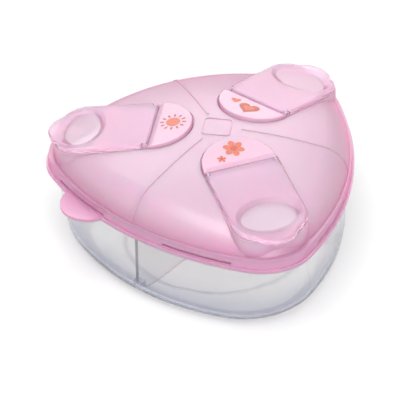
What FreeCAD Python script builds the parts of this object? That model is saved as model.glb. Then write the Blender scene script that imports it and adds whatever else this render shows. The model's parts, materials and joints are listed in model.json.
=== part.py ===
"""Powder dispenser with three chambers: a clear tub, a lift-out divider and a domed lid
whose three corners each carry a hinged spout flap.

Lengths are in millimetres.  The origin is the centre of the tub's foot, Z is up, and one
corner of the rounded triangle points along -Y.
"""
import FreeCAD, Part
import math
import os
import re
import Sketcher
from FreeCAD import Placement, Rotation, Vector

doc = FreeCAD.newDocument("PowderDispenser")
sizes = doc.addObject("Spreadsheet::Sheet", "Sizes")

DRIVING = {
    # tub
    "foot_reach": 65.4,      # centre to corner of the foot outline, before its rounding
    "foot_side": 55.8,       # centre to side middle of the foot outline
    "foot_radius": 36.0,
    "foot_rounding": 9.4,
    "rim_reach": 71.8,
    "rim_side": 55.8,
    "rim_radius": 21.0,
    "tub_height": 39.4,
    "tub_wall": 1.6,
    "floor": 2.0,
    "bead_height": 2.4,
    "bead_out": 0.4,
    "foot_ring_radius": 41.5,
    "foot_ring_width": 1.4,
    "foot_ring_depth": 0.8,
    "guide_deep": 3.0,       # radial depth of a divider guide rib
    "guide_thick": 1.0,
    "guide_gap": 0.25,       # play between a wing and its guide ribs
    "guide_top": 9.0,
    # divider
    "wing_thick": 1.6,
    "wing_play": 0.35,       # gap between the wings and the tub or dome
    "hub_radius": 3.2,
    # lid
    "lip_reach": 75.5,
    "lip_side": 59.0,
    "lip_radius": 24.0,
    "lip_bottom": 35.6,
    "lip_height": 1.5,
    "lip_step": 0.7,
    "band_top": 41.5,
    "band_in": 0.6,          # the band leans in by this much up to its top edge
    "ledge": 2.0,            # the dome stands this far inside the lip
    "skirt_wall": 1.2,
    "dome_rise": 18.1,       # from the band's top edge to the top of the dome
    "dome_radius": 189.0,
    "shoulder": 14.0,
    "lid_wall": 1.6,
    "inner_shoulder": 9.8,
    "seal_wall": 1.0,
    "seal_drop": 2.2,
    "seal_play": 0.4,
    "ridge_width": 1.1,
    "ridge_rise": 0.35,
    "frame_size": 12.6,
    "frame_line": 0.5,
    "frame_rise": 0.3,
    "slot_start": 16.0,
    "slot_end": 47.0,
    "slot_height": 1.0,
    "slot_bottom": 37.6,
    "tab_radius": 12.5,
    "tab_along": 28.0,
    "tab_out": 52.5,
    "tab_thick": 1.4,
    # pods, hinge plates and flaps
    "slope": 8.7,            # degrees that a flap falls towards the corner
    "axis_reach": 28.9,
    "axis_drop": 2.6,        # hinge axis below the top of the dome
    "barrel_radius": 1.2,    # half of the flap's thickness
    "arc_back": 1.9,         # the round inner ends are centred this far inside the hinge axis
    "pod_half": 17.0,
    "pod_end": 70.4,
    "pod_round": 11.3,
    "pod_wall": 1.4,
    "deck": 2.2,
    "deck_gap": 0.15,        # play between a closed flap and the deck
    "recess": 0.8,
    "plate_play": 0.2,
    "hinge_gap": 0.4,
    "tongue": 12.0,
    "plate_slope": 2.0,      # width and depth of the slope beside the hinge gap
    "plate_slope_deep": 0.8,
    "plate_edge": 0.5,
    "pin_radius": 0.7,
    "pin_play": 0.05,
    "ear_in": 14.9,
    "ear_out": 15.8,
    "ear_play": 0.25,
    "flap_half": 16.5,
    "flap_end": 41.4,        # hinge axis to the flap's end, without its nose
    "flap_round": 11.0,
    "nose_tip": 45.7,
    "nose_radius": 11.0,
    "nose_fillet": 4.0,
    "flap_edge": 0.9,
    "dish_centre": 30.4,
    "dish_long": 14.3,       # half widths of the thumb dish, across and along the flap
    "dish_short": 10.4,
    "dish_floor_long": 12.1,
    "dish_floor_short": 7.6,
    "dish_depth": 1.1,
    "plug_wall": 1.2,
    "plug_drop": 2.4,
    "plug_draft": 0.3,
    "spout_play": 0.5,
}

for row, (name, number) in enumerate(DRIVING.items(), start=1):
    sizes.set(f"A{row}", name)
    sizes.set(f"B{row}", str(number))
    sizes.setAlias(f"B{row}", name)
doc.recompute()

CORNERS = (-90, 30, 150)
SIDES = (-30, 90, 210)
DOME_TOP = "( band_top + dome_rise )"
AXIS_HEIGHT = f"( {DOME_TOP} - axis_drop )"


def bind(text):
    """Turn size names into references to the sheet's cells."""
    return re.sub("[a-z_]+", lambda word: f"Sizes.{word[0]}" if word[0] in DRIVING else word[0], text)


def number(text):
    return float(sizes.evalExpression(bind(text)))


def drive(obj, prop, text):
    obj.setExpression(prop, bind(text))


def plane(body, role):
    return next(f for f in body.Origin.OriginFeatures if f.Role == role)


def new_body(name):
    body = doc.addObject("PartDesign::Body", name)
    body.Label = name
    return body


def new_sketch(body, name, role="XY_Plane", height=""):
    sketch = body.newObject("Sketcher::SketchObject", name)
    sketch.AttachmentSupport = (plane(body, role), "")
    sketch.MapMode = "FlatFace"
    if height:
        sketch.AttachmentOffset = Placement(Vector(0, 0, number(height)), Rotation())
        drive(sketch, "AttachmentOffset.Base.z", height)
    return sketch


def fix(sketch, kind, *refs_and_text):
    """Add a dimension whose value is a formula of the sheet."""
    *refs, text = refs_and_text
    index = sketch.addConstraint(Sketcher.Constraint(kind, *refs, number(text)))
    drive(sketch, f"Constraints[{index}]", text)


def fix_point(sketch, geo, pos, x_text, y_text):
    fix(sketch, "DistanceX", -1, 1, geo, pos, x_text)
    fix(sketch, "DistanceY", -1, 1, geo, pos, y_text)


def add_arc(sketch, centre, radius, start, end):
    circle = Part.Circle(Vector(*centre, 0), Vector(0, 0, 1), radius)
    return sketch.addGeometry(Part.ArcOfCircle(circle, start, end), False)


def add_line(sketch, first, last):
    return sketch.addGeometry(Part.LineSegment(Vector(*first, 0), Vector(*last, 0)), False)


def join_ends(sketch, first, last):
    sketch.addConstraint(Sketcher.Constraint("Coincident", first, 2, last, 1))


def rounded_triangle(sketch, reach, side, radius):
    """Three corner arcs and three flatter side arcs, tangent where they meet."""
    corner_at = f"(({reach}) - ({radius}))"
    inner = f"(({side}) - ({radius}))"
    side_at = f"(({inner} ^ 2 - {corner_at} ^ 2) / ({corner_at} - 2 * {inner}))"
    far, near, small = number(side_at), number(corner_at), number(radius)
    big = far + number(side)
    arcs = []
    for angle in CORNERS:
        here = math.radians(angle)
        centre = (near * math.cos(here), near * math.sin(here))
        turns = []
        for side_angle in (angle - 60, angle + 60):
            there = math.radians(side_angle)
            rise = centre[1] + far * math.sin(there)
            run = centre[0] + far * math.cos(there)
            turns.append(math.atan2(rise, run))
        if turns[1] < turns[0]:
            turns[1] += 2 * math.pi
        arcs.append(add_arc(sketch, centre, small, *turns))
        there = math.radians(angle + 60)
        start = turns[1]
        end = 2 * there - start
        while end < start:
            end += 2 * math.pi
        centre = (-far * math.cos(there), -far * math.sin(there))
        arcs.append(add_arc(sketch, centre, big, start, end))
    for index, angle in enumerate(CORNERS):
        corner, flank = arcs[2 * index], arcs[2 * index + 1]
        following = arcs[(2 * index + 2) % 6]
        fix(sketch, "Radius", corner, radius)
        fix(sketch, "Radius", flank, f"{side_at} + {side}")
        fix_point(sketch, corner, 3, f"{corner_at} * cos( {angle} )", f"{corner_at} * sin( {angle} )")
        sketch.addConstraint(Sketcher.Constraint("Tangent", corner, 2, flank, 1))
        sketch.addConstraint(Sketcher.Constraint("Tangent", flank, 2, following, 1))


def pad(body, sketch, length, reverse=False, both=False):
    feature = body.newObject("PartDesign::Pad", f"{sketch.Name}Pad")
    feature.Profile = sketch
    feature.Reversed = reverse
    feature.SideType = "Symmetric" if both else "One side"
    drive(feature, "Length", length)
    return feature


def polygon(sketch, points):
    """Closed outline through points given as pairs of formulas."""
    places = [(number(x), number(y)) for x, y in points]
    lines = [add_line(sketch, a, b) for a, b in zip(places, places[1:] + places[:1])]
    for first, last in zip(lines, lines[1:] + lines[:1]):
        join_ends(sketch, first, last)
    for line, (x, y) in zip(lines, points):
        fix_point(sketch, line, 1, x, y)


def round_edges(body, feature, radius, wanted, kind="Fillet"):
    """Fillet or chamfer the edges of feature that wanted() picks."""
    doc.recompute()
    names = [f"Edge{i}" for i, e in enumerate(feature.Shape.Edges, start=1) if wanted(e)]
    dressed = body.newObject(f"PartDesign::{kind}", f"{feature.Name}{kind}")
    dressed.Base = (feature, names)
    drive(dressed, "Radius" if kind == "Fillet" else "Size", radius)
    return dressed


def combine(kind, name, shapes):
    feature = doc.addObject(f"Part::{kind}", name)
    feature.Label = name
    if kind == "Cut":
        feature.Base, feature.Tool = shapes
    else:
        feature.Shapes = shapes
    return feature


def box(name, length, width, height, place):
    """Box whose corner lies at place = (x, y, z), all given as formulas."""
    block = doc.addObject("Part::Box", name)
    for prop, text in zip(("Length", "Width", "Height"), (length, width, height)):
        drive(block, prop, text)
    for axis, text in zip("xyz", place):
        drive(block, f"Placement.Base.{axis}", text)
    return block


def turned(name, source, angle, x="0", y="0", z="0", tilt="0"):
    """Copy of source tilted about Y, moved and then turned about Z, as one placement."""
    copy = doc.addObject("Part::Compound", name)
    copy.Links = [source]
    move = f"vector( ( {x} ) * cos( {angle} ) - ( {y} ) * sin( {angle} ); " \
           f"( {x} ) * sin( {angle} ) + ( {y} ) * cos( {angle} ); {z} )"
    turn = f"rotation( {angle} ; {tilt} ; 0 )"
    drive(copy, "Placement", f"placement( {move} ; {turn} )")
    return copy


# ---------------------------------------------------------------- tub and divider

def slab(name, reach, side, radius, low, height):
    """Flat rounded triangle with upright walls."""
    body = new_body(name)
    outline = new_sketch(body, f"{name}Outline", height=low)
    rounded_triangle(outline, reach, side, radius)
    pad(body, outline, height)
    return body


def tub_form(name, inset, bottom, top="tub_height"):
    """Solid of the tub's outside, or of its inside when inset is a wall thickness."""
    body = new_body(name)
    sketches = []
    rounding = f"( foot_rounding - {inset} )"
    for step in range(9):
        angle = min(30 * step, 90)
        rise = f"{bottom} + {rounding} * ( 1 - cos( {angle} ) )"
        if step > 3:
            rise = f"{bottom} + {rounding} + ( {top} - {bottom} - {rounding} ) * ( {step} - 3 ) / 5"
        shrink = f"( {inset} + {rounding} * ( 1 - sin( {angle} ) ) )"
        share = f"( {rise} ) / tub_height"
        sketch = new_sketch(body, f"{name}Section{step}", height=rise)
        rounded_triangle(sketch, *(f"foot_{part} + ( rim_{part} - foot_{part} ) * {share} - {shrink}"
                                   for part in ("reach", "side", "radius")))
        sketches.append(sketch)
    loft = body.newObject("PartDesign::AdditiveLoft", f"{name}Loft")
    loft.Profile = sketches[0]
    loft.Sections = sketches[1:]
    return body


def guide_ribs():
    """Pairs of upright ribs at the side middles, with a slot that takes a divider wing."""
    width = "( guide_thick * 2 + wing_thick + guide_gap * 2 )"
    inner_end = "foot_side - tub_wall - guide_deep"
    guides = []
    for side in SIDES:
        block = box(f"GuideBlock{side % 360}", "guide_deep + 3 * tub_wall", width, "guide_top - floor / 2",
                    (inner_end, f"0 - {width} / 2", "floor / 2"))
        groove = box(f"GuideGroove{side % 360}", "rim_side", "wing_thick + guide_gap * 2", "tub_height",
                     (f"{inner_end} - 1", "0 - wing_thick / 2 - guide_gap", "0"))
        guide = combine("Cut", f"Guide{side % 360}", (block, groove))
        guides.append(turned(f"GuideTurned{side % 360}", guide, side))
    return combine("MultiFuse", "GuideRibs", guides)


def make_tub():
    outside = tub_form("TubOutside", "0", "0")
    inside = tub_form("TubInside", "tub_wall", "floor")
    bead = slab("RimBead", "rim_reach + bead_out", "rim_side + bead_out", "rim_radius + bead_out",
                "tub_height - bead_height", "bead_height")
    solid = combine("MultiFuse", "TubSolid", [outside, bead])
    shell = combine("Cut", "TubShell", (solid, inside))
    ribs = combine("MultiCommon", "GuideRibsTrimmed", [guide_ribs(), outside])
    ribbed = combine("MultiFuse", "TubRibbed", [shell, ribs])
    discs = []
    for name, radius in (("RingOuter", "foot_ring_radius"),
                         ("RingInner", "foot_ring_radius - foot_ring_width")):
        disc = doc.addObject("Part::Cylinder", name)
        drive(disc, "Radius", radius)
        drive(disc, "Height", "foot_ring_depth")
        discs.append(disc)
    return combine("Cut", "base_container", (ribbed, combine("Cut", "FootRing", discs)))


def make_divider():
    """Three wings that fill the tub's section and rise to just under the dome."""
    below = tub_form("DividerBelow", "( tub_wall + wing_play )", "( floor + wing_play )",
                     "( tub_height - wing_play )")
    above = lid_cavity("DividerAbove", "wing_play")
    room = combine("MultiFuse", "DividerRoom", [below, above])
    wings = []
    for side in SIDES:
        wing = box(f"WingBlock{side % 360}", "lip_reach", "wing_thick", DOME_TOP,
                   ("0", "0 - wing_thick / 2", "0"))
        wings.append(turned(f"Wing{side % 360}", wing, side))
    hub = doc.addObject("Part::Cylinder", "Hub")
    drive(hub, "Radius", "hub_radius")
    drive(hub, "Height", DOME_TOP)
    star = combine("MultiFuse", "DividerStar", wings + [hub])
    return combine("MultiCommon", "divider_insert", [star, room])


# ---------------------------------------------------------------- lid

def dome_form(name, reach, side, radius, rounding, sink, bottom):
    """Solid under a shallow dome; sink lowers the dome, and rounding turns down its edge."""
    body = slab(name, reach, side, radius, bottom, f"{DOME_TOP} + 10 - {bottom}")
    block = body.Tip
    cutter = new_sketch(body, f"{name}Arc", "XZ_Plane")
    ball, top = f"( dome_radius - {sink} )", f"( {DOME_TOP} - {sink} )"
    reach = number("lip_reach") * 1.3
    sweep = math.asin(reach / number(ball))
    middle = number(top) - number(ball)
    rim = (reach, middle + number(ball) * math.cos(sweep))
    roof = number(top) + 20
    arc = add_arc(cutter, (0, middle), number(ball), math.pi / 2 - sweep, math.pi / 2)
    up = add_line(cutter, (0, number(top)), (0, roof))
    across = add_line(cutter, (0, roof), (reach, roof))
    down = add_line(cutter, (reach, roof), rim)
    for first, last in ((arc, up), (up, across), (across, down), (down, arc)):
        join_ends(cutter, first, last)
    fix(cutter, "Radius", arc, ball)
    fix_point(cutter, arc, 3, "0", f"{top} - {ball}")
    fix_point(cutter, across, 2, "lip_reach * 1.3", f"{top} + 20")
    for line, kind in ((up, "Vertical"), (across, "Horizontal"), (down, "Vertical")):
        cutter.addConstraint(Sketcher.Constraint(kind, line))
    groove = body.newObject("PartDesign::Groove", f"{name}Groove")
    groove.Profile = cutter
    groove.ReferenceAxis = (cutter, ["V_Axis"])
    groove.Angle = 360
    level = number(bottom)

    def on_dome(edge):
        return min(edge.valueAt(u).z for u in edge.ParameterRange) > level + 2 and not (
            edge.Length < 40 and abs(edge.Vertexes[0].Z - edge.Vertexes[-1].Z) > 8)
    round_edges(body, groove, rounding, on_dome)
    return body


def lid_cavity(name, play):
    """Room under the dome, as wide as the inside of the sealing rib."""
    inset = f"( tub_wall + seal_play + seal_wall + {play} )"
    return dome_form(name, f"rim_reach - {inset}", f"rim_side - {inset}", f"rim_radius - {inset}",
                     f"inner_shoulder - {play}", f"( lid_wall + {play} )", "( tub_height - seal_drop - 1 )")


def pod_form(name, inset, lowered, bottom, side_kept="MultiCommon"):
    """Upright block under one flap, round at its inner end, on one side of a sloping plane."""
    body = new_body(name)
    outline = new_sketch(body, f"{name}Outline", height=bottom)
    half, end, turn = f"( pod_half - {inset} )", f"( pod_end - {inset} )", f"( pod_round - {inset} )"
    w, e, r, start = number(half), number(end), number(turn), number("axis_reach - arc_back")
    inner = add_arc(outline, (start, 0), w, math.pi / 2, 3 * math.pi / 2)
    low = add_line(outline, (start, -w), (e - r, -w))
    right = add_arc(outline, (e - r, r - w), r, -math.pi / 2, 0)
    front = add_line(outline, (e, r - w), (e, w - r))
    left = add_arc(outline, (e - r, w - r), r, 0, math.pi / 2)
    high = add_line(outline, (e - r, w), (start, w))
    chain = (inner, low, right, front, left, high)
    for first, last in zip(chain, chain[1:] + chain[:1]):
        outline.addConstraint(Sketcher.Constraint("Tangent", first, 2, last, 1))
    fix_point(outline, inner, 3, "axis_reach - arc_back", "0")
    fix(outline, "Radius", inner, half)
    fix(outline, "Radius", right, turn)
    fix(outline, "Radius", left, turn)
    fix(outline, "DistanceX", -1, 1, front, 1, end)
    outline.addConstraint(Sketcher.Constraint("Horizontal", low))
    pad(body, outline, f"{DOME_TOP} + 20")

    cap = new_body(f"{name}Cap")
    side = new_sketch(cap, f"{name}CapOutline", "XZ_Plane")
    level = f"{AXIS_HEIGHT} - barrel_radius - deck_gap - ( {lowered} ) / cos( slope )"
    near = f"{level} + ( axis_reach + 5 ) * tan( slope )"
    far = f"{level} - ( pod_end + 5 - axis_reach ) * tan( slope )"
    polygon(side, [("0 - 5", bottom), ("pod_end + 5", bottom), ("pod_end + 5", far), ("0 - 5", near)])
    pad(cap, side, "pod_half * 3", both=True)
    return combine(side_kept, f"{name}Trimmed", [body, cap])


def oval(name, across, along):
    ring = doc.addObject("Part::Ellipse", name)
    drive(ring, "MajorRadius", across)
    drive(ring, "MinorRadius", along)
    return ring


def oval_block(name, centre, low, high, across, along, across_high="", along_high=""):
    """Oval solid between the heights low and high; wide across the flap and short along it."""
    rings = []
    for end, level, wide, short in (("Low", low, across, along),
                                    ("High", high, across_high or across, along_high or along)):
        ring = oval(f"{name}{end}", wide, short)
        drive(ring, "Placement", f"placement( vector( {centre} ; 0; {level} ) ; rotation( 90; 0; 0 ) )")
        rings.append(ring)
    block = doc.addObject("Part::Loft", name)
    block.Sections = rings
    block.Solid = True
    block.Ruled = True
    return block


def at_flap(name, source, corner):
    """Copy of source from the flap's own frame, on the hinge axis, to one corner of the lid."""
    return turned(name, source, corner, "axis_reach", "0", AXIS_HEIGHT, "slope")


def at_corner(name, source, corner):
    return turned(name, source, corner)


def three(name, source, place):
    return combine("MultiFuse", name, [place(f"{name}{corner % 360}", source, corner) for corner in CORNERS])


def lid_ridges():
    """Low ribs on the dome from its middle to the middle of each side."""
    inset = "( ledge - ridge_rise )"
    raised = dome_form("RidgeDome", f"lip_reach - {inset}", f"lip_side - {inset}", f"lip_radius - {inset}",
                       "shoulder + ridge_rise", "( 0 - ridge_rise )", "lip_bottom")
    bars = []
    for side in SIDES:
        bar = box(f"RidgeBar{side % 360}", "lip_side - frame_size", "ridge_width", DOME_TOP,
                  ("frame_size - 2", "0 - ridge_width / 2", "band_top - 1"))
        bars.append(turned(f"Ridge{side % 360}", bar, side))
    return combine("MultiCommon", "Ridges", [raised, combine("MultiFuse", "RidgeBars", bars)])


def lid_frame():
    """Thin raised square line in the middle of the dome, lined up with the ridges."""
    outer = new_body("FrameOuter")
    inner = new_body("FrameInner")
    for body, inset in ((outer, "0"), (inner, "frame_line")):
        outline = new_sketch(body, f"{body.Name}Outline", height=f"{DOME_TOP} - 1")
        low, high = f"0 - frame_size / 2 + {inset}", f"frame_size / 2 - {inset}"
        polygon(outline, [(low, low), (high, low), (high, high), (low, high)])
        block = pad(body, outline, "1 + frame_rise")
        round_edges(body, block, f"frame_size / 6 - {inset}",
                    lambda e: abs(e.Vertexes[0].Z - e.Vertexes[-1].Z) > 0.5)
    square = combine("Cut", "Frame", (outer, inner))
    return turned("FrameTurned", square, -30)


def lid_tab():
    """Half-round pull tab that stands out from the lip beside one corner."""
    disc = doc.addObject("Part::Cylinder", "TabDisc")
    drive(disc, "Radius", "tab_radius")
    drive(disc, "Height", "tab_thick")
    return turned("Tab", disc, 210, "tab_out", "0 - tab_along", "lip_bottom")


def lid_slots():
    """Two long thin windows through the skirt on each side, beside the side's middle."""
    outer = slab("SlotOuter", "lip_reach + 1", "lip_side + 1", "lip_radius + 1", "slot_bottom", "slot_height")
    inset = "( lip_step + band_in + skirt_wall + 0.3 )"
    inner = slab("SlotInner", f"lip_reach - {inset}", f"lip_side - {inset}", f"lip_radius - {inset}",
                 "slot_bottom - 1", "slot_height + 2")
    ring = combine("Cut", "SlotRing", (outer, inner))
    bars = []
    for side in SIDES:
        for hand in (-1, 1):
            name = f"SlotBar{side % 360}{'Left' if hand < 0 else 'Right'}"
            middle = f"{hand} * ( slot_start + slot_end ) / 2"
            bar = box(name, "lip_side", "slot_end - slot_start", "slot_height + 2",
                      ("lip_side / 2", f"{middle} - ( slot_end - slot_start ) / 2", "slot_bottom - 1"))
            bars.append(turned(f"{name}Turned", bar, side))
    return combine("MultiCommon", "Slots", [ring, combine("MultiFuse", "SlotBars", bars)])


def seal_rib():
    """Rib under the land that enters the tub, open where the divider's wings pass."""
    gap = "( tub_wall + seal_play )"
    inner_gap = f"( {gap} + seal_wall )"
    low, tall = "tub_height - seal_drop", "seal_drop + 1"
    outer = slab("SealOuter", f"rim_reach - {gap}", f"rim_side - {gap}", f"rim_radius - {gap}", low, tall)
    inner = slab("SealInner", f"rim_reach - {inner_gap}", f"rim_side - {inner_gap}",
                 f"rim_radius - {inner_gap}", f"{low} - 1", f"{tall} + 2")
    ring = combine("Cut", "SealRing", (outer, inner))
    notches = []
    for side in SIDES:
        notch = box(f"NotchBlock{side % 360}", "lip_side", "wing_thick + 2 * wing_play", "seal_drop + 1",
                    ("lip_side / 2", "0 - wing_thick / 2 - wing_play", f"{low} - 1"))
        notches.append(turned(f"Notch{side % 360}", notch, side))
    return combine("Cut", "SealRib", (ring, combine("MultiFuse", "Notches", notches)))


def make_lid():
    lip = slab("Lip", "lip_reach", "lip_side", "lip_radius", "lip_bottom", "lip_height")
    inset = "( lip_step )"
    band = new_body("Band")
    low = new_sketch(band, "BandLow", height="lip_bottom")
    rounded_triangle(low, f"lip_reach - {inset}", f"lip_side - {inset}", f"lip_radius - {inset}")
    inset = "( lip_step + band_in )"
    high = new_sketch(band, "BandHigh", height="band_top")
    rounded_triangle(high, f"lip_reach - {inset}", f"lip_side - {inset}", f"lip_radius - {inset}")
    loft = band.newObject("PartDesign::AdditiveLoft", "BandLoft")
    loft.Profile = low
    loft.Sections = [high]
    loft.Ruled = True
    dome = dome_form("DomeOutside", "lip_reach - ledge", "lip_side - ledge", "lip_radius - ledge",
                     "shoulder", "0", "lip_bottom")
    pods = three("Pods", pod_form("Pod", "0", "0", "( band_top - 1 )"), at_corner)
    solid = combine("MultiFuse", "LidSolid", [lip, band, dome, pods, lid_ridges(), lid_frame(), lid_tab()])

    inset = "( lip_step + band_in + skirt_wall )"
    skirt_room = slab("SkirtRoom", f"lip_reach - {inset}", f"lip_side - {inset}", f"lip_radius - {inset}",
                      "lip_bottom - 1", "tub_height - lip_bottom + 1")
    decks = three("Decks", pod_form("DeckAndAbove", "0", "deck", "( band_top - 1 )", "Cut"), at_corner)
    under_dome = combine("Cut", "UnderDomeRoom", (lid_cavity("UnderDome", "0"), decks))
    under_pods = three("UnderPods", pod_form("PodRoom", "pod_wall", "deck", "( tub_height )"), at_corner)
    around = "plug_wall + spout_play"
    spout = oval_block("SpoutHole", "dish_centre", "0 - barrel_radius - deck_gap - deck - 2", "0",
                       f"dish_floor_long + {around}", f"dish_floor_short + {around}")
    spouts = three("Spouts", spout, at_flap)
    recesses = three("Recesses", plate_base("RecessForm", "plate_play", "1"), at_flap)
    above_deck = three("AboveDeck", pod_form("Clearance", "0", "0", "( band_top - 1 )", "Cut"), at_corner)
    hollow = combine("Cut", "LidHollow", (solid, combine("MultiFuse", "LidRoom", [
        skirt_room, under_dome, under_pods, spouts, recesses, above_deck, lid_slots()])))
    return combine("MultiFuse", "lid_shell", [hollow, seal_rib()])


# ---------------------------------------------------------------- hinge plates and flaps

def plate_base(name, play, extra):
    """Oval foot of a hinge plate, half round inwards and a shallower oval outwards."""
    low = "( 0 - barrel_radius - deck_gap - recess )"
    high = f"{low} + recess + {extra}"
    edge = "( pod_half - plate_edge - plate_play )"
    middle = "0 - arc_back"
    disc = oval_block(f"{name}Inner", middle, low, high, f"{edge} + {play}", f"{edge} + {play}")
    tongue = oval_block(f"{name}Outer", middle, low, high, f"{edge} + {play}", f"tongue + arc_back + {play}")
    halves = []
    for block, near in ((disc, f"{middle} - lip_side"), (tongue, middle)):
        keep = box(f"{block.Name}Keep", "lip_side", "lip_side * 2", "lip_side",
                   (near, "0 - lip_side", "0 - lip_side / 2"))
        halves.append(combine("MultiCommon", f"{block.Name}Half", [block, keep]))
    return combine("MultiFuse", name, halves)


def rod(name, radius, start, end):
    """Round rod along the hinge axis, from start to end."""
    bar = doc.addObject("Part::Cylinder", name)
    drive(bar, "Radius", radius)
    drive(bar, "Height", f"( {end} ) - ( {start} )")
    drive(bar, "Placement", f"placement( vector( 0; {start}; 0 ) ; rotation( 0; 0; -90 ) )")
    return bar


def plate_form():
    """Hinge plate in the flap's frame: base, thick inner half and two bored ears."""
    thick = new_body("PlateThick")
    outline = new_sketch(thick, "PlateThickOutline", height="0 - barrel_radius - deck_gap - recess / 2")
    edge, cut = "( pod_half - plate_edge - plate_play )", "( barrel_radius + hinge_gap )"
    r, x, middle = number(edge), -number(cut), -number("arc_back")
    y = math.sqrt(r * r - (x - middle) ** 2)
    turn = math.atan2(y, x - middle)
    arc = add_arc(outline, (middle, 0), r, turn, 2 * math.pi - turn)
    chord = add_line(outline, (x, -y), (x, y))
    join_ends(outline, arc, chord)
    join_ends(outline, chord, arc)
    fix_point(outline, arc, 3, "0 - arc_back", "0")
    fix(outline, "Radius", arc, edge)
    fix(outline, "DistanceX", chord, 1, -1, 1, cut)
    outline.addConstraint(Sketcher.Constraint("Vertical", chord))
    block = pad(thick, outline, "barrel_radius * 2 + deck_gap + recess / 2")
    top = number("barrel_radius")
    bevel = round_edges(thick, block, "plate_slope_deep",
                        lambda e: all(abs(v.Z - top) < 1e-4 and abs(v.X - x) < 1e-4 for v in e.Vertexes)
                        and e.Length < 2 * y + 0.01, "Chamfer")
    bevel.ChamferType = "Two distances"
    drive(bevel, "Size2", "plate_slope")
    round_edges(thick, bevel, "plate_edge",
                lambda e: all(abs(v.Z - top) < 1e-4 for v in e.Vertexes) and e.Length > 2 * y + 0.01)

    ears = []
    for name, start, end in (("EarRight", "0 - ear_out", "0 - ear_in"), ("EarLeft", "ear_in", "ear_out")):
        post = box(f"{name}Post", f"{cut} + barrel_radius", f"( {end} ) - ( {start} )",
                   "barrel_radius + deck_gap + recess / 2",
                   (f"0 - {cut}", start, "0 - barrel_radius - deck_gap - recess / 2"))
        ears.append(combine("MultiFuse", name, [post, rod(f"{name}Round", "barrel_radius", start, end)]))
    solid = combine("MultiFuse", "PlateSolid", [plate_base("PlateBase", "0", "0"), thick] + ears)
    return combine("Cut", "PlateForm", (solid, rod("EarBore", "pin_radius + pin_play",
                                                   "0 - ear_out - 1", "ear_out + 1")))


def flap_outline(sketch):
    """Strap with round end corners, a nose lobe and notches beside the hinge for the ears."""
    w, e, r = number("flap_half"), number("flap_end"), number("flap_round")
    tip, nose, turn = number("nose_tip"), number("nose_radius"), number("nose_fillet")
    barrel, notch = number("ear_in - ear_play"), number("barrel_radius + ear_play")
    corner = (e - r, w - r)
    middle = (tip - nose, 0.0)
    gap = math.dist(corner, middle)
    reach_a, reach_b = r + turn, nose + turn
    along = (reach_a ** 2 - reach_b ** 2 + gap ** 2) / (2 * gap)
    off = math.sqrt(reach_a ** 2 - along ** 2)
    ux, uy = (middle[0] - corner[0]) / gap, (middle[1] - corner[1]) / gap
    pit = (corner[0] + ux * along - uy * off, corner[1] + uy * along + ux * off)
    to_pit = math.atan2(pit[1] - corner[1], pit[0] - corner[0])
    from_nose = math.atan2(pit[1] - middle[1], pit[0] - middle[0])

    left_pit = add_arc(sketch, pit, turn, to_pit + math.pi, from_nose + math.pi)
    nose_arc = add_arc(sketch, middle, nose, -from_nose, from_nose)
    right_pit = add_arc(sketch, (pit[0], -pit[1]), turn, math.pi - from_nose, math.pi - to_pit)
    left_corner = add_arc(sketch, corner, r, to_pit, math.pi / 2)
    right_corner = add_arc(sketch, (corner[0], -corner[1]), r, -math.pi / 2, -to_pit)
    top = add_line(sketch, (corner[0], w), (notch, w))
    top_in = add_line(sketch, (notch, w), (notch, barrel))
    top_back = add_line(sketch, (notch, barrel), (0, barrel))
    axis = add_line(sketch, (0, barrel), (0, -barrel))
    low_back = add_line(sketch, (0, -barrel), (notch, -barrel))
    low_in = add_line(sketch, (notch, -barrel), (notch, -w))
    low = add_line(sketch, (notch, -w), (corner[0], -w))

    def touch(kind, first, first_end, last, last_end):
        sketch.addConstraint(Sketcher.Constraint(kind, first, first_end, last, last_end))
    touch("Tangent", low, 2, right_corner, 1)
    touch("Tangent", right_corner, 2, right_pit, 2)
    touch("Tangent", right_pit, 1, nose_arc, 1)
    touch("Tangent", nose_arc, 2, left_pit, 2)
    touch("Tangent", left_pit, 1, left_corner, 1)
    touch("Tangent", left_corner, 2, top, 1)
    chain = (top, top_in, top_back, axis, low_back, low_in, low)
    for first, last in zip(chain, chain[1:]):
        join_ends(sketch, first, last)
    for arc, radius in ((left_pit, "nose_fillet"), (right_pit, "nose_fillet"), (nose_arc, "nose_radius"),
                        (left_corner, "flap_round"), (right_corner, "flap_round")):
        fix(sketch, "Radius", arc, radius)
    fix_point(sketch, nose_arc, 3, "nose_tip - nose_radius", "0")
    fix_point(sketch, left_corner, 3, "flap_end - flap_round", "flap_half - flap_round")
    fix_point(sketch, right_corner, 3, "flap_end - flap_round", "flap_round - flap_half")
    for line in (top, low, top_back, low_back):
        sketch.addConstraint(Sketcher.Constraint("Horizontal", line))
    for line in (top_in, low_in):
        sketch.addConstraint(Sketcher.Constraint("Vertical", line))
    fix(sketch, "DistanceX", -1, 1, top_in, 1, "barrel_radius + ear_play")
    fix(sketch, "DistanceX", -1, 1, low_in, 1, "barrel_radius + ear_play")
    fix_point(sketch, axis, 1, "0", "ear_in - ear_play")
    fix_point(sketch, axis, 2, "0", "ear_play - ear_in")


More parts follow.
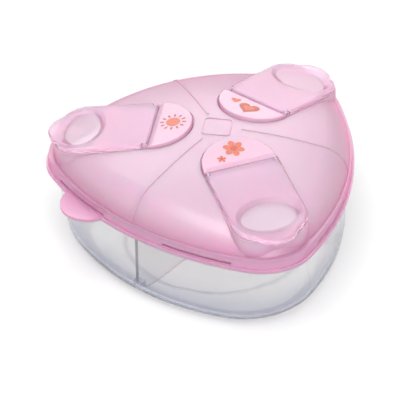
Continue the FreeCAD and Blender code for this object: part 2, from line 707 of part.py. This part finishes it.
def flap_form():
    """Flap in its own frame: strap, hinge barrel with end pins, thumb dish and ring-shaped spout plug."""
    strap = new_body("Strap")
    outline = new_sketch(strap, "StrapOutline")
    flap_outline(outline)
    block = pad(strap, outline, "barrel_radius * 2", both=True)
    top, start = number("barrel_radius"), number("barrel_radius + ear_play")
    round_edges(strap, block, "flap_edge",
                lambda e: all(abs(v.Z - top) < 1e-4 and v.X > start - 1e-4 for v in e.Vertexes)
                and not all(abs(v.X - start) < 1e-4 for v in e.Vertexes))
    barrel = rod("Barrel", "barrel_radius", "ear_play - ear_in", "ear_in - ear_play")
    pins = rod("HingePins", "pin_radius", "ear_play - ear_out", "ear_out - ear_play")
    plug = oval_block("Plug", "dish_centre", "0 - barrel_radius - plug_drop", "0",
                      "dish_floor_long + plug_wall - plug_draft", "dish_floor_short + plug_wall - plug_draft",
                      "dish_floor_long + plug_wall", "dish_floor_short + plug_wall")
    solid = combine("MultiFuse", "FlapSolid", [strap, barrel, pins, plug])
    dish = oval_block("Dish", "dish_centre", "barrel_radius - dish_depth", "barrel_radius + 0.001",
                      "dish_floor_long", "dish_floor_short", "dish_long", "dish_short")
    hollow = oval_block("PlugHollow", "dish_centre", "0 - barrel_radius - plug_drop - 1",
                        "barrel_radius - dish_depth - plug_wall", "dish_floor_long", "dish_floor_short")
    return combine("Cut", "FlapForm", (solid, combine("MultiFuse", "DishAndHollow", [dish, hollow])))


def make_all():
    nodes = [make_tub(), make_divider(), make_lid()]
    plate, flap = plate_form(), flap_form()
    for index, corner in enumerate(CORNERS, start=1):
        nodes.append(at_flap(f"hinge_plate_{index}", plate, corner))
        nodes.append(at_flap(f"spout_flap_{index}", flap, corner))
    return nodes


def write(nodes):
    doc.recompute()
    failed = [o.Name for o in doc.Objects if "Invalid" in o.State or "Error" in o.State]
    if failed:
        raise RuntimeError(f"not built: {failed}")
    os.makedirs("parts", exist_ok=True)
    for node in nodes:
        if node.Shape.isNull() or not node.Shape.isValid():
            raise RuntimeError(f"bad shape: {node.Label}")
        node.Shape.exportStep(f"parts/{node.Label}.step")
        print(f"{node.Label:18} {len(node.Shape.Solids)} solid {node.Shape.Volume / 1000:8.2f} cm3")


write(make_all())
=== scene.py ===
# %% [markdown]
# # A milk powder dispenser in translucent pink and clear plastic
# The real thing is a shallow three-cornered tub of clear plastic. A divider with three wings splits it
# into three rooms, and a domed pink lid closes it. Over each room the lid carries a spout with a flap on
# a hinge pin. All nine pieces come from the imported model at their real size, so this lesson is about
# their finish: how light goes through thin moulded plastic, the printed motifs, and a plain studio.

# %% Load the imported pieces
import json
import math

import bpy
from mathutils import Matrix, Vector

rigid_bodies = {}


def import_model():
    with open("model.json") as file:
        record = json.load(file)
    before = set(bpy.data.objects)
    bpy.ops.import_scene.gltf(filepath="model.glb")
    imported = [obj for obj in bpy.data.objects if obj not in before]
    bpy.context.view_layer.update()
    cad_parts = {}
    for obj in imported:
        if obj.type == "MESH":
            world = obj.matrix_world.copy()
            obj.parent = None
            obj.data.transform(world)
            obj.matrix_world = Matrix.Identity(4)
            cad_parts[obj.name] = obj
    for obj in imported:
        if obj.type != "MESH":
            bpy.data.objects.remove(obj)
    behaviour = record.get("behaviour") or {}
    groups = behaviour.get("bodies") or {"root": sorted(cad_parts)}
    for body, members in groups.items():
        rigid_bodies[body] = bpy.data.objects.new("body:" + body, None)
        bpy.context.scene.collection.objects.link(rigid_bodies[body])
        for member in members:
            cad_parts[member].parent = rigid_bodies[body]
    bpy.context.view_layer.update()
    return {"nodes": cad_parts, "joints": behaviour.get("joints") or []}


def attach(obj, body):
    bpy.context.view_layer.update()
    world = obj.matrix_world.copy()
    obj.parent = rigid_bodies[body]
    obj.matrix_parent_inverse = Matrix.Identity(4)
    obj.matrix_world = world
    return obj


for leftover in list(bpy.data.objects):
    bpy.data.objects.remove(leftover)
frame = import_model()
print("pieces:", ", ".join(sorted(frame["nodes"])))

# %% [markdown]
# ## Where things are
# Blender works in metres and the maker's drawing in millimetres, so one value turns one into the other.
# The flaps hinge over the three corners of the lid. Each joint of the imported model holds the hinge's
# place and direction, so nothing here is measured twice.

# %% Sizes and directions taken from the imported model
MM = 0.001
UP = Vector((0, 0, 1))
HINGES = {joint["child"]: joint for joint in frame["joints"] if "flap" in joint["child"]}
SLOPE = math.radians(8.7)


def outward(body):
    """Level direction from the middle of the lid over one flap's hinge."""
    x, y, z = HINGES[body]["pos_m"]
    return Vector((x, y, 0)).normalized()


print("corners at", [round(math.degrees(math.atan2(*outward(body).yx))) for body in HINGES], "degrees")

# %% [markdown]
# ## The camera
# A long lens from well back keeps the shape nearly free of perspective, the way products are usually
# shown. The camera is placed on a ball round a point inside the object, and turned to look at that point.

# %% Camera
LOOK_AT = Vector((-11.7, -9.3, 30.0)) * MM
DISTANCE = 1044.4 * MM
HEADING = math.radians(69.6)
HEIGHT_ANGLE = math.radians(36.55)
ROLL = math.radians(-0.78)
LENS = 217.7

lens = bpy.data.cameras.new("Camera")
lens.lens = LENS
lens.sensor_width = 36
lens.clip_start = 0.05
camera = bpy.data.objects.new("Camera", lens)
bpy.context.scene.collection.objects.link(camera)
bpy.context.scene.camera = camera
back = Vector((-math.cos(HEADING) * math.cos(HEIGHT_ANGLE), -math.sin(HEADING) * math.cos(HEIGHT_ANGLE),
               math.sin(HEIGHT_ANGLE)))
camera.location = LOOK_AT + back * DISTANCE
camera.rotation_euler = (back.to_track_quat("Z", "Y").to_matrix() @ Matrix.Rotation(ROLL, 3, "Z")).to_euler()
print("camera at", [round(x, 3) for x in camera.location])

# %% [markdown]
# ## Building node trees
# Materials, the world and the printed motifs are all made of nodes. Two small helpers keep that short:
# one adds a node with its values, the other does one step of arithmetic. The third tells rays that can
# be seen from rays that only light, which the floor and the world both need.

# %% Helpers for node trees
WHITE = (1, 1, 1, 1)


def add_node(tree, kind, **values):
    """New node with its sockets set by name."""
    node = tree.nodes.new(kind)
    for name, value in values.items():
        node.inputs[name.replace("_", " ")].default_value = value
    return node


def maths(tree, operation, first, second):
    """Math node whose two inputs are numbers or links."""
    node = tree.nodes.new("ShaderNodeMath")
    node.operation = operation
    for socket, value in zip(node.inputs, (first, second)):
        if isinstance(value, bpy.types.NodeSocket):
            tree.links.new(value, socket)
        else:
            socket.default_value = value
    return node.outputs[0]


def shown(tree):
    """One for rays from the camera, a reflection or clear plastic, and nought for rays that only light."""
    path = tree.nodes.new("ShaderNodeLightPath")
    either = maths(tree, "MAXIMUM", path.outputs["Is Camera Ray"], path.outputs["Is Glossy Ray"])
    return maths(tree, "MAXIMUM", either, path.outputs["Is Transmission Ray"])


print("helpers:", add_node.__name__, maths.__name__, shown.__name__)

# %% [markdown]
# ## Floor and world
# The object stands on a plain white table. A table that is only matt turns grey away from the lamps, and
# one that only glows shows no shadow. So this one is matt grey and also glows to the camera, which reads
# as white while the object's soft shadow stays on it. The same glow shows in reflections and through the
# clear plastic. The world is plain white to the eye too, and a softer white as a source of light.

# %% World
WORLD_LIGHT = 0.6

world = bpy.data.worlds.new("Studio")
bpy.context.scene.world = world
world.use_nodes = True
tree = world.node_tree
tree.nodes.clear()
seen = add_node(tree, "ShaderNodeBackground", Color=WHITE, Strength=1.0)
light = add_node(tree, "ShaderNodeBackground", Color=WHITE, Strength=WORLD_LIGHT)
mix = tree.nodes.new("ShaderNodeMixShader")
out = tree.nodes.new("ShaderNodeOutputWorld")
tree.links.new(shown(tree), mix.inputs["Fac"])
tree.links.new(light.outputs[0], mix.inputs[1])
tree.links.new(seen.outputs[0], mix.inputs[2])
tree.links.new(mix.outputs[0], out.inputs["Surface"])
print("world lights the object at", WORLD_LIGHT)

# %% Table
HALF_TABLE = 4.0
TABLE_GREY = (0.62, 0.62, 0.62, 1)
TABLE_GLOW = 0.38

corners = [(-HALF_TABLE, -HALF_TABLE, 0), (HALF_TABLE, -HALF_TABLE, 0),
           (HALF_TABLE, HALF_TABLE, 0), (-HALF_TABLE, HALF_TABLE, 0)]
table_mesh = bpy.data.meshes.new("table")
table_mesh.from_pydata(corners, [], [(0, 1, 2, 3)])
table = bpy.data.objects.new("table", table_mesh)
bpy.context.scene.collection.objects.link(table)

table_paint = bpy.data.materials.new("white_table")
table_paint.use_nodes = True
tree = table_paint.node_tree
tree.nodes.clear()
matt = add_node(tree, "ShaderNodeBsdfDiffuse", Color=TABLE_GREY)
glow = tree.nodes.new("ShaderNodeEmission")
tree.links.new(maths(tree, "MULTIPLY", shown(tree), TABLE_GLOW), glow.inputs["Strength"])
both = tree.nodes.new("ShaderNodeAddShader")
out = tree.nodes.new("ShaderNodeOutputMaterial")
tree.links.new(matt.outputs[0], both.inputs[0])
tree.links.new(glow.outputs[0], both.inputs[1])
tree.links.new(both.outputs[0], out.inputs["Surface"])
table_mesh.materials.append(table_paint)
print("table:", 2 * HALF_TABLE, "m square")

# %% [markdown]
# ## Lamps
# Soft square lamps stand in for the light boxes of a product studio. The one above gives the light its
# direction and the object its shadow. The one in front keeps the faces that look this way from going
# dark. The one behind shows only in the gloss, as a broad sheen across the dome. If it lit the plastic
# too, the far edges would turn as pale as the middle, and a see-through pink is deepest at its edges.

# %% Lamps
LAMPS = (("top_box", (-0.28, -0.28, 1.25), 1.0, 10.5, False),
         ("front_box", (-0.1, -1.2, 0.7), 1.0, 8.0, False),
         ("sheen_box", (0.35, 1.15, 0.95), 1.1, 10.5, True))


def lamp(name, place, size, watts, gloss_only):
    """Square soft lamp that looks at the object; it can be left to show only in the gloss."""
    shade = bpy.data.lights.new(name, "AREA")
    shade.size = size
    shade.energy = watts
    piece = bpy.data.objects.new(name, shade)
    piece.location = place
    piece.rotation_euler = (Vector(place) - LOOK_AT).to_track_quat("Z", "Y").to_euler()
    piece.visible_diffuse = not gloss_only
    piece.visible_transmission = not gloss_only
    bpy.context.scene.collection.objects.link(piece)


for row in LAMPS:
    lamp(*row)
print("lamps:", [row[0] for row in LAMPS])

# %% [markdown]
# ## What moulded plastic has in common
# Every piece is moulded in polypropylene. Three things keep such plastic from looking like computer
# glass. Its skin has a very fine unevenness from the mould, which breaks up the gloss. Its tone drifts a
# little where the melt flowed in thick or thin, so that it looks faintly cloudy. And painted shade deepens
# its colour lower down, in place of light dimmed where more walls lie behind one another. All the pieces
# have these, so each is a node group, built once and placed in each material with its own values.

# %% Helpers for node groups
NOISE_ROUGHNESS = 0.55


def new_group(name, inputs, outputs):
    """Empty shader group with named sockets, and its two end nodes."""
    group = bpy.data.node_groups.new(name, "ShaderNodeTree")
    for title, kind, value in inputs:
        socket = group.interface.new_socket(name=title, in_out="INPUT", socket_type=kind)
        socket.default_value = value
    for title, kind in outputs:
        group.interface.new_socket(name=title, in_out="OUTPUT", socket_type=kind)
    return group, group.nodes.new("NodeGroupInput"), group.nodes.new("NodeGroupOutput")


def noise(tree, scale, detail):
    """Noise on the piece's own coordinates; scale is a link that carries the lumps per metre."""
    place = tree.nodes.new("ShaderNodeTexCoord")
    node = add_node(tree, "ShaderNodeTexNoise", Detail=detail, Roughness=NOISE_ROUGHNESS)
    tree.links.new(place.outputs["Object"], node.inputs["Vector"])
    tree.links.new(scale, node.inputs["Scale"])
    return node.outputs["Fac"]


def colour_mix(tree):
    """Mix node that blends two colours."""
    blend = tree.nodes.new("ShaderNodeMix")
    blend.data_type = "RGBA"
    return blend


print("group helpers:", new_group.__name__, noise.__name__, colour_mix.__name__)

# %% Group: the mould's grain
grain, feed, result = new_group(
    "mould_grain",
    [("Lumps per metre", "NodeSocketFloat", 900.0), ("Gloss", "NodeSocketFloat", 0.2),
     ("Unevenness", "NodeSocketFloat", 0.1)],
    [("Height", "NodeSocketFloat"), ("Roughness", "NodeSocketFloat")])
lumps = noise(grain, feed.outputs["Lumps per metre"], 2.0)
drift = maths(grain, "MULTIPLY", maths(grain, "SUBTRACT", lumps, 0.5), feed.outputs["Unevenness"])
grain.links.new(lumps, result.inputs["Height"])
grain.links.new(maths(grain, "ADD", feed.outputs["Gloss"], drift), result.inputs["Roughness"])
print("group:", grain.name)

# %% Group: the melt's clouds
cloud, feed, result = new_group(
    "melt_cloud",
    [("Colour", "NodeSocketColor", WHITE), ("Cloudiness", "NodeSocketFloat", 0.06),
     ("Clouds per metre", "NodeSocketFloat", 25.0)],
    [("Colour", "NodeSocketColor")])
blend = colour_mix(cloud)
blend.inputs["B"].default_value = WHITE
drift = noise(cloud, feed.outputs["Clouds per metre"], 1.0)
share = maths(cloud, "MULTIPLY", drift, feed.outputs["Cloudiness"])
cloud.links.new(share, blend.inputs["Factor"])
cloud.links.new(feed.outputs["Colour"], blend.inputs["A"])
cloud.links.new(blend.outputs["Result"], result.inputs["Colour"])
print("group:", cloud.name)

# %% Group: painted shade by height
LEVEL_POWER = 6          # how nearly flat a face must lie to count as level

# Painted shading: the colour turns from the upper colour to the lower one lower down on the piece, in place
# of light dimmed through more plastic. Level faces can be kept free of it.
painted_shade_group, feed, result = new_group(
    "painted_shade_by_height",
    [("Thin colour", "NodeSocketColor", WHITE), ("Thick colour", "NodeSocketColor", WHITE),
     ("Thin from", "NodeSocketFloat", 0.058), ("Thick below", "NodeSocketFloat", 0.044),
     ("Level faces stay thin", "NodeSocketFloat", 0.0)],
    [("Colour", "NodeSocketColor")])
place = painted_shade_group.nodes.new("ShaderNodeTexCoord")
split = painted_shade_group.nodes.new("ShaderNodeSeparateXYZ")
lean = painted_shade_group.nodes.new("ShaderNodeSeparateXYZ")
ramp = painted_shade_group.nodes.new("ShaderNodeMapRange")
ramp.interpolation_type = "SMOOTHSTEP"
ramp.inputs["To Min"].default_value = 1
ramp.inputs["To Max"].default_value = 0
painted_shade_group.links.new(place.outputs["Object"], split.inputs[0])
painted_shade_group.links.new(place.outputs["Normal"], lean.inputs[0])
painted_shade_group.links.new(split.outputs["Z"], ramp.inputs["Value"])
painted_shade_group.links.new(feed.outputs["Thick below"], ramp.inputs["From Min"])
painted_shade_group.links.new(feed.outputs["Thin from"], ramp.inputs["From Max"])
level = maths(painted_shade_group, "POWER", maths(painted_shade_group, "ABSOLUTE", lean.outputs["Z"], 0), LEVEL_POWER)
steep = maths(painted_shade_group, "SUBTRACT", 1.0, maths(painted_shade_group, "MULTIPLY", level, feed.outputs["Level faces stay thin"]))
blend = colour_mix(painted_shade_group)
painted_shade_group.links.new(maths(painted_shade_group, "MULTIPLY", ramp.outputs["Result"], steep), blend.inputs["Factor"])
painted_shade_group.links.new(feed.outputs["Thin colour"], blend.inputs["A"])
painted_shade_group.links.new(feed.outputs["Thick colour"], blend.inputs["B"])
painted_shade_group.links.new(blend.outputs["Result"], result.inputs["Colour"])
print("group:", painted_shade_group.name)

# %% [markdown]
# ## Pink and clear finishes
# One function makes every plastic, and these values tell them apart:
#
# - thin and thick are the colours high up and low down, between the two heights in levels. This is painted
#   shading: the thick colour stands in for light dimmed where the eye looks through more plastic. In clear
#   plastic, faces that lie level keep the thin colour, because the eye goes through them only once.
# - haze is the skin's roughness. The dome is satin, the flaps and the tub are polished.
# - clear is the share of light that goes straight through. The rest comes back from inside the plastic:
#   milk turns on scattering, so that it glows softly in place of looking painted.
# - soak and density are an absorption inside the walls. It makes them darker where the eye looks along
#   them, which is what draws the deep rims of see-through plastic.
# - varnish is the gloss of the skin that faces the eye, and bloom is the velvety pink sheen at grazing
#   angles that scattering plastic has.
# - cover below one lets light through the flaps without a bend, so the plates below show faintly.

# %% Plastic
PLASTIC_IOR = 1.49
COAT_ROUGHNESS = 0.3
SHEEN_ROUGHNESS = 0.4
BLOOM_PINK = (0.72, 0.12, 0.35, 1)
MILK_REACH = (0.003, 0.0015, 0.002)
UNEVEN_SHARE = 0.3       # the roughness wanders by this share of itself
GRAIN_STRENGTH = 0.2
GRAIN_DEPTH = 0.00001


def use_group(tree, group, **values):
    """Place a shader group in a material, with its sockets set by name."""
    node = tree.nodes.new("ShaderNodeGroup")
    node.node_tree = group
    for name, value in values.items():
        node.inputs[name.replace("_", " ")].default_value = value
    return node


def plastic(name, thin, thick, haze, clear, soak, density, varnish=0.0, milk=0.0, levels=(0.058, 0.044),
            shine=0.3, bloom=0.0, cover=1.0, level_unshaded=0.0):
    """Moulded plastic with the values explained above; levels are heights in metres."""
    paint = bpy.data.materials.new(name)
    paint.use_nodes = True
    tree = paint.node_tree
    bsdf = tree.nodes["Principled BSDF"]
    for socket, value in (("Transmission Weight", clear), ("IOR", PLASTIC_IOR), ("Alpha", cover),
                          ("Coat Weight", 0.0), ("Coat Roughness", COAT_ROUGHNESS),
                          ("Specular IOR Level", shine), ("Sheen Weight", bloom),
                          ("Sheen Roughness", SHEEN_ROUGHNESS), ("Sheen Tint", BLOOM_PINK),
                          ("Subsurface Weight", milk), ("Subsurface Radius", MILK_REACH),
                          ("Subsurface Scale", 1.0)):
        bsdf.inputs[socket].default_value = value
    if varnish:
        face = add_node(tree, "ShaderNodeLayerWeight", Blend=0.5)
        facing = maths(tree, "SUBTRACT", 1.0, face.outputs["Facing"])
        tree.links.new(maths(tree, "MULTIPLY", facing, varnish), bsdf.inputs["Coat Weight"])
    skin = use_group(tree, grain, Gloss=haze, Unevenness=haze * UNEVEN_SHARE)
    bump = add_node(tree, "ShaderNodeBump", Strength=GRAIN_STRENGTH, Distance=GRAIN_DEPTH)
    # Painted shading: the base colour turns from thin to the thick colour lower down on the piece.
    shading_node = use_group(tree, painted_shade_group, Thin_colour=(*thin, 1), Thick_colour=(*thick, 1), Thin_from=levels[0],
                      Thick_below=levels[1], Level_faces_stay_thin=level_unshaded)
    melt = use_group(tree, cloud)
    inside = add_node(tree, "ShaderNodeVolumeAbsorption", Color=(*soak, 1), Density=density)
    tree.links.new(skin.outputs["Roughness"], bsdf.inputs["Roughness"])
    tree.links.new(skin.outputs["Height"], bump.inputs["Height"])
    tree.links.new(bump.outputs["Normal"], bsdf.inputs["Normal"])
    tree.links.new(shading_node.outputs["Colour"], melt.inputs["Colour"])
    tree.links.new(melt.outputs["Colour"], bsdf.inputs["Base Color"])
    tree.links.new(inside.outputs["Volume"], tree.nodes["Material Output"].inputs["Volume"])
    return paint


print("plastic ready:", plastic.__name__)

# %% The five finishes
PINK_SOAK = (0.9, 0.4, 0.7)
GREY_SOAK = (0.55, 0.57, 0.66)

# The thick colours paint shade lower down on the lid, the flaps and the tub, bluish on the tub; on the plates
# the painted shift is slightly lighter.
lid_pink = plastic("lid_pink", thin=(0.95, 0.7, 0.83), thick=(0.93, 0.52, 0.735), levels=(0.049, 0.0415),
                   haze=0.36, clear=0.55, soak=PINK_SOAK, density=500, varnish=1.0, milk=1.0,
                   shine=0.1, bloom=1.0)
flap_pink = plastic("flap_pink", thin=(0.87, 0.79, 0.86), thick=(0.82, 0.64, 0.76),
                    levels=(0.057, 0.0505), haze=0.06, clear=0.8, soak=PINK_SOAK, density=100,
                    varnish=0.1, milk=1.0, bloom=0.5, cover=0.72)
plate_pink = plastic("plate_pink", thin=(0.8, 0.52, 0.66), thick=(0.84, 0.58, 0.72),
                     levels=(0.0575, 0.0562), haze=0.12, clear=0.2, soak=PINK_SOAK, density=60,
                     varnish=0.2, milk=1.0, bloom=0.5)
tub_clear = plastic("tub_clear", thin=(1.0, 1.0, 1.0), thick=(0.66, 0.69, 0.8), levels=(0.026, 0.003),
                    haze=0.08, clear=0.94, soak=GREY_SOAK, density=38, shine=0.5, level_unshaded=1.0)
divider_clear = plastic("divider_clear", thin=(0.99, 0.99, 0.995), thick=(0.99, 0.99, 0.995),
                        haze=0.1, clear=0.9, soak=GREY_SOAK, density=25, shine=0.5)
print("finishes:", [paint.name for paint in (lid_pink, flap_pink, plate_pink, tub_clear, divider_clear)])

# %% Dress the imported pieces
FINISH_OF = {"flap": flap_pink, "plate": plate_pink, "lid_shell": lid_pink, "divider": divider_clear,
             "container": tub_clear}

for node, piece in frame["nodes"].items():
    paint = next(paint for word, paint in FINISH_OF.items() if word in node)
    piece.data.materials.clear()
    piece.data.materials.append(paint)
    print(node, "wears", paint.name)

# %% [markdown]
# ## Printed motifs
# Each hinge plate carries a small picture in orange ink, pad printed after moulding. Such a print is a
# layer of ink a few hundredths of a millimetre thick that lies on the plate, so it is made as thin solid
# shapes. An image would need a file, and a stripe of colour in the plate's material would have no edge.
# Two inks are enough, a deep orange and a lighter one.

# %% Inks
INK_THICK = 0.06         # in mm
INK_GLOSS = 0.4
INK_LUMPS = 2500
INK_CLOUDS = 900
INK_CLOUDINESS = 0.08


def ink(name, colour):
    """Slightly uneven, soft gloss printing ink."""
    paint = bpy.data.materials.new(name)
    paint.use_nodes = True
    tree = paint.node_tree
    bsdf = tree.nodes["Principled BSDF"]
    skin = use_group(tree, grain, Gloss=INK_GLOSS, Lumps_per_metre=INK_LUMPS)
    melt = use_group(tree, cloud, Colour=(*colour, 1), Cloudiness=INK_CLOUDINESS,
                     Clouds_per_metre=INK_CLOUDS)
    tree.links.new(skin.outputs["Roughness"], bsdf.inputs["Roughness"])
    tree.links.new(melt.outputs["Colour"], bsdf.inputs["Base Color"])
    return paint


deep_orange = ink("deep_orange_ink", (0.46, 0.045, 0.015))
light_orange = ink("light_orange_ink", (0.6, 0.1, 0.035))
print("inks:", deep_orange.name, light_orange.name)

# %% [markdown]
# ## Petals round a middle
# A blossom's petals and a sun's rays both repeat round a disc. Placing them by hand would fix their
# number, so one Geometry Nodes tree makes them all: it sets a flat oval on each point of a ring, turns it
# outwards, gives it the ink's thickness, closes it below and adds the middle disc.

# %% The tree that sets petals round a middle
PETAL_POINTS = 24
WELD = 1e-6
MIDDLE_LAYERS = 1.5      # the middle's ink lies over the petals' ink


def petal_tree(name, outer_ink, middle_ink):
    """Geometry Nodes tree: a ring of flat oval petals round a disc, both as thick as the ink."""
    tree = bpy.data.node_groups.new(name, "GeometryNodeTree")
    for title, kind, value in (("Petals", "NodeSocketInt", 6), ("Length", "NodeSocketFloat", 0.003),
                               ("Width", "NodeSocketFloat", 0.002), ("Ring radius", "NodeSocketFloat", 0.003),
                               ("Middle radius", "NodeSocketFloat", 0.001),
                               ("Thickness", "NodeSocketFloat", INK_THICK * MM)):
        tree.interface.new_socket(name=title, in_out="INPUT", socket_type=kind).default_value = value
    tree.interface.new_socket(name="Geometry", in_out="OUTPUT", socket_type="NodeSocketGeometry")
    feed = tree.nodes.new("NodeGroupInput")
    result = tree.nodes.new("NodeGroupOutput")
    link = tree.links.new

    def thick(flat, height, paint):
        """Close a flat face into a thin plate and give it its ink."""
        raised = tree.nodes.new("GeometryNodeExtrudeMesh")
        raised.inputs["Individual"].default_value = False
        under = tree.nodes.new("GeometryNodeFlipFaces")
        both = tree.nodes.new("GeometryNodeJoinGeometry")
        weld = tree.nodes.new("GeometryNodeMergeByDistance")
        weld.inputs["Distance"].default_value = WELD
        dress = tree.nodes.new("GeometryNodeSetMaterial")
        dress.inputs["Material"].default_value = paint
        link(flat, raised.inputs["Mesh"])
        link(height, raised.inputs["Offset Scale"])
        link(flat, under.inputs["Mesh"])
        link(raised.outputs["Mesh"], both.inputs["Geometry"])
        link(under.outputs["Mesh"], both.inputs["Geometry"])
        link(both.outputs["Geometry"], weld.inputs["Geometry"])
        link(weld.outputs["Geometry"], dress.inputs["Geometry"])
        return dress.outputs["Geometry"]

    ring = tree.nodes.new("GeometryNodeMeshCircle")
    link(feed.outputs["Petals"], ring.inputs["Vertices"])
    link(feed.outputs["Ring radius"], ring.inputs["Radius"])
    petal = tree.nodes.new("GeometryNodeMeshCircle")
    petal.fill_type = "NGON"
    petal.inputs["Vertices"].default_value = PETAL_POINTS
    petal.inputs["Radius"].default_value = 0.5
    size = tree.nodes.new("ShaderNodeCombineXYZ")
    size.inputs["Z"].default_value = 1
    link(feed.outputs["Length"], size.inputs["X"])
    link(feed.outputs["Width"], size.inputs["Y"])
    oval = tree.nodes.new("GeometryNodeTransform")
    link(petal.outputs["Mesh"], oval.inputs["Geometry"])
    link(size.outputs[0], oval.inputs["Scale"])
    step = maths(tree, "DIVIDE", 2 * math.pi, feed.outputs["Petals"])
    order = tree.nodes.new("GeometryNodeInputIndex")
    turn = tree.nodes.new("ShaderNodeCombineXYZ")
    link(maths(tree, "MULTIPLY", order.outputs[0], step), turn.inputs["Z"])
    spread = tree.nodes.new("GeometryNodeInstanceOnPoints")
    link(ring.outputs["Mesh"], spread.inputs["Points"])
    link(oval.outputs["Geometry"], spread.inputs["Instance"])
    link(turn.outputs[0], spread.inputs["Rotation"])
    plain = tree.nodes.new("GeometryNodeRealizeInstances")
    link(spread.outputs["Instances"], plain.inputs["Geometry"])
    middle = tree.nodes.new("GeometryNodeMeshCircle")
    middle.fill_type = "NGON"
    link(feed.outputs["Middle radius"], middle.inputs["Radius"])
    whole = tree.nodes.new("GeometryNodeJoinGeometry")
    link(thick(plain.outputs["Geometry"], feed.outputs["Thickness"], outer_ink), whole.inputs["Geometry"])
    higher = maths(tree, "MULTIPLY", feed.outputs["Thickness"], MIDDLE_LAYERS)
    link(thick(middle.outputs["Mesh"], higher, middle_ink), whole.inputs["Geometry"])
    link(whole.outputs["Geometry"], result.inputs["Geometry"])
    return tree


blossom_tree = petal_tree("blossom", light_orange, deep_orange)
sun_tree = petal_tree("sun", deep_orange, light_orange)
print("trees:", blossom_tree.name, sun_tree.name)

# %% [markdown]
# ## Where the motifs go
# A plate slopes down outwards as the lid does, so a motif is drawn flat and then laid on its plate by a
# matrix that starts at the hinge. The motifs belong to the lid's body, because the plates are fixed to
# the lid and only the flaps turn.

# %% Places on the hinge plates
PLATE_TOP = 1.2          # mm above the hinge axis
SINK = 0.02              # mm of ink below the plate's face, so that no gap shows


def on_plate(body, along, across, turn=0.0):
    """Matrix from a flat motif to a hinge plate; along is outwards from the hinge axis, both in mm."""
    out = outward(body)
    x_axis = out * math.cos(SLOPE) - UP * math.sin(SLOPE)
    z_axis = UP * math.cos(SLOPE) + out * math.sin(SLOPE)
    y_axis = z_axis.cross(x_axis)
    frame_of_plate = Matrix((x_axis, y_axis, z_axis)).transposed().to_4x4()
    frame_of_plate.translation = Vector(HINGES[body]["pos_m"])
    lift = Matrix.Translation(Vector((along, across, PLATE_TOP - SINK)) * MM)
    return frame_of_plate @ lift @ Matrix.Rotation(math.radians(turn), 4, "Z")


def put(name, mesh, place):
    """Object at the origin whose mesh lies on the plate; it moves with the lid."""
    mesh.name = name
    mesh.transform(place)
    piece = bpy.data.objects.new(name, mesh)
    bpy.context.scene.collection.objects.link(piece)
    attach(piece, "lid")
    return piece


print("plates at", [tuple(round(1000 * x, 1) for x in HINGES[body]["pos_m"]) for body in HINGES], "mm")

# %% Run a petal tree


def rosette(name, tree, place, petals, **sizes):
    """Run a petal tree with sizes in mm, and keep its result as a plain mesh."""
    carrier = bpy.data.objects.new(name + "_carrier", bpy.data.meshes.new(name + "_carrier"))
    bpy.context.scene.collection.objects.link(carrier)
    maker = carrier.modifiers.new("petals", "NODES")
    maker.node_group = tree
    sockets = {item.name: item.identifier for item in tree.interface.items_tree if item.in_out == "INPUT"}
    maker[sockets["Petals"]] = petals
    for title, value in sizes.items():
        maker[sockets[title.replace("_", " ")]] = value * MM
    ready = carrier.evaluated_get(bpy.context.evaluated_depsgraph_get())
    mesh = bpy.data.meshes.new_from_object(ready)
    bpy.data.objects.remove(carrier)
    return put(name, mesh, place)


print("maker:", rosette.__name__)

# %% Blossom, bud and sun
blossom = rosette("blossom_print", blossom_tree, on_plate("flap_1", -11.2, 0.6), 6,
                  Length=3.4, Width=2.7, Ring_radius=3.0, Middle_radius=1.5)
bud = rosette("bud_print", blossom_tree, on_plate("flap_1", -6.6, -6.6, 20), 5,
              Length=1.5, Width=1.2, Ring_radius=1.3, Middle_radius=0.7)
sun = rosette("sun_print", sun_tree, on_plate("flap_3", -10.0, -0.6), 12,
              Length=2.0, Width=0.9, Ring_radius=4.9, Middle_radius=3.1)
print("faces:", [len(piece.data.polygons) for piece in (blossom, bud, sun)])

# %% [markdown]
# ## Hearts
# A heart has no repeat in it, so nodes would gain nothing. It follows a well known curve of sines and
# cosines, and is drawn from that in mesh code. The lighter heart lies on the deeper one, so it is
# slightly thicker.

# %% Hearts
HEART_STEPS = 40
HEART_SPAN = 32          # width of the curve before scaling
HEARTS = (("heart_print", 9.5, deep_orange, (-10.0, -2.0, -80), 1.0),
          ("heart_inner_print", 5.0, light_orange, (-10.0, -2.0, -80), 1.6),
          ("heart_small_print", 4.5, light_orange, (-8.0, 6.4, -70), 1.0))


def heart(name, width, paint, place, layers):
    """Flat heart of a width in mm, closed to so many layers of ink."""
    turns = [2 * math.pi * i / HEART_STEPS for i in range(HEART_STEPS)]
    outline = [(16 * math.sin(t) ** 3, 13 * math.cos(t) - 5 * math.cos(2 * t) - 2 * math.cos(3 * t)
                - math.cos(4 * t)) for t in turns]
    scale = width * MM / HEART_SPAN
    levels = (0, INK_THICK * MM * layers)
    points = [(-x * scale, y * scale, z) for z in levels for x, y in outline]
    n = HEART_STEPS
    faces = [tuple(reversed(range(n))), tuple(range(n, 2 * n))]
    faces += [(i, (i + 1) % n, (i + 1) % n + n, i + n) for i in range(n)]
    mesh = bpy.data.meshes.new(name)
    mesh.from_pydata(points, [], faces)
    mesh.materials.append(paint)
    return put(name, mesh, place)


for name, width, paint, spot, layers in HEARTS:
    heart(name, width, paint, on_plate("flap_2", *spot), layers)
    print(name, "is", width, "mm wide")

# %% [markdown]
# ## The view transform
# The picture is shown through Blender's standard view transform.

# %% Standard view transform
bpy.context.scene.view_settings.view_transform = "Standard"
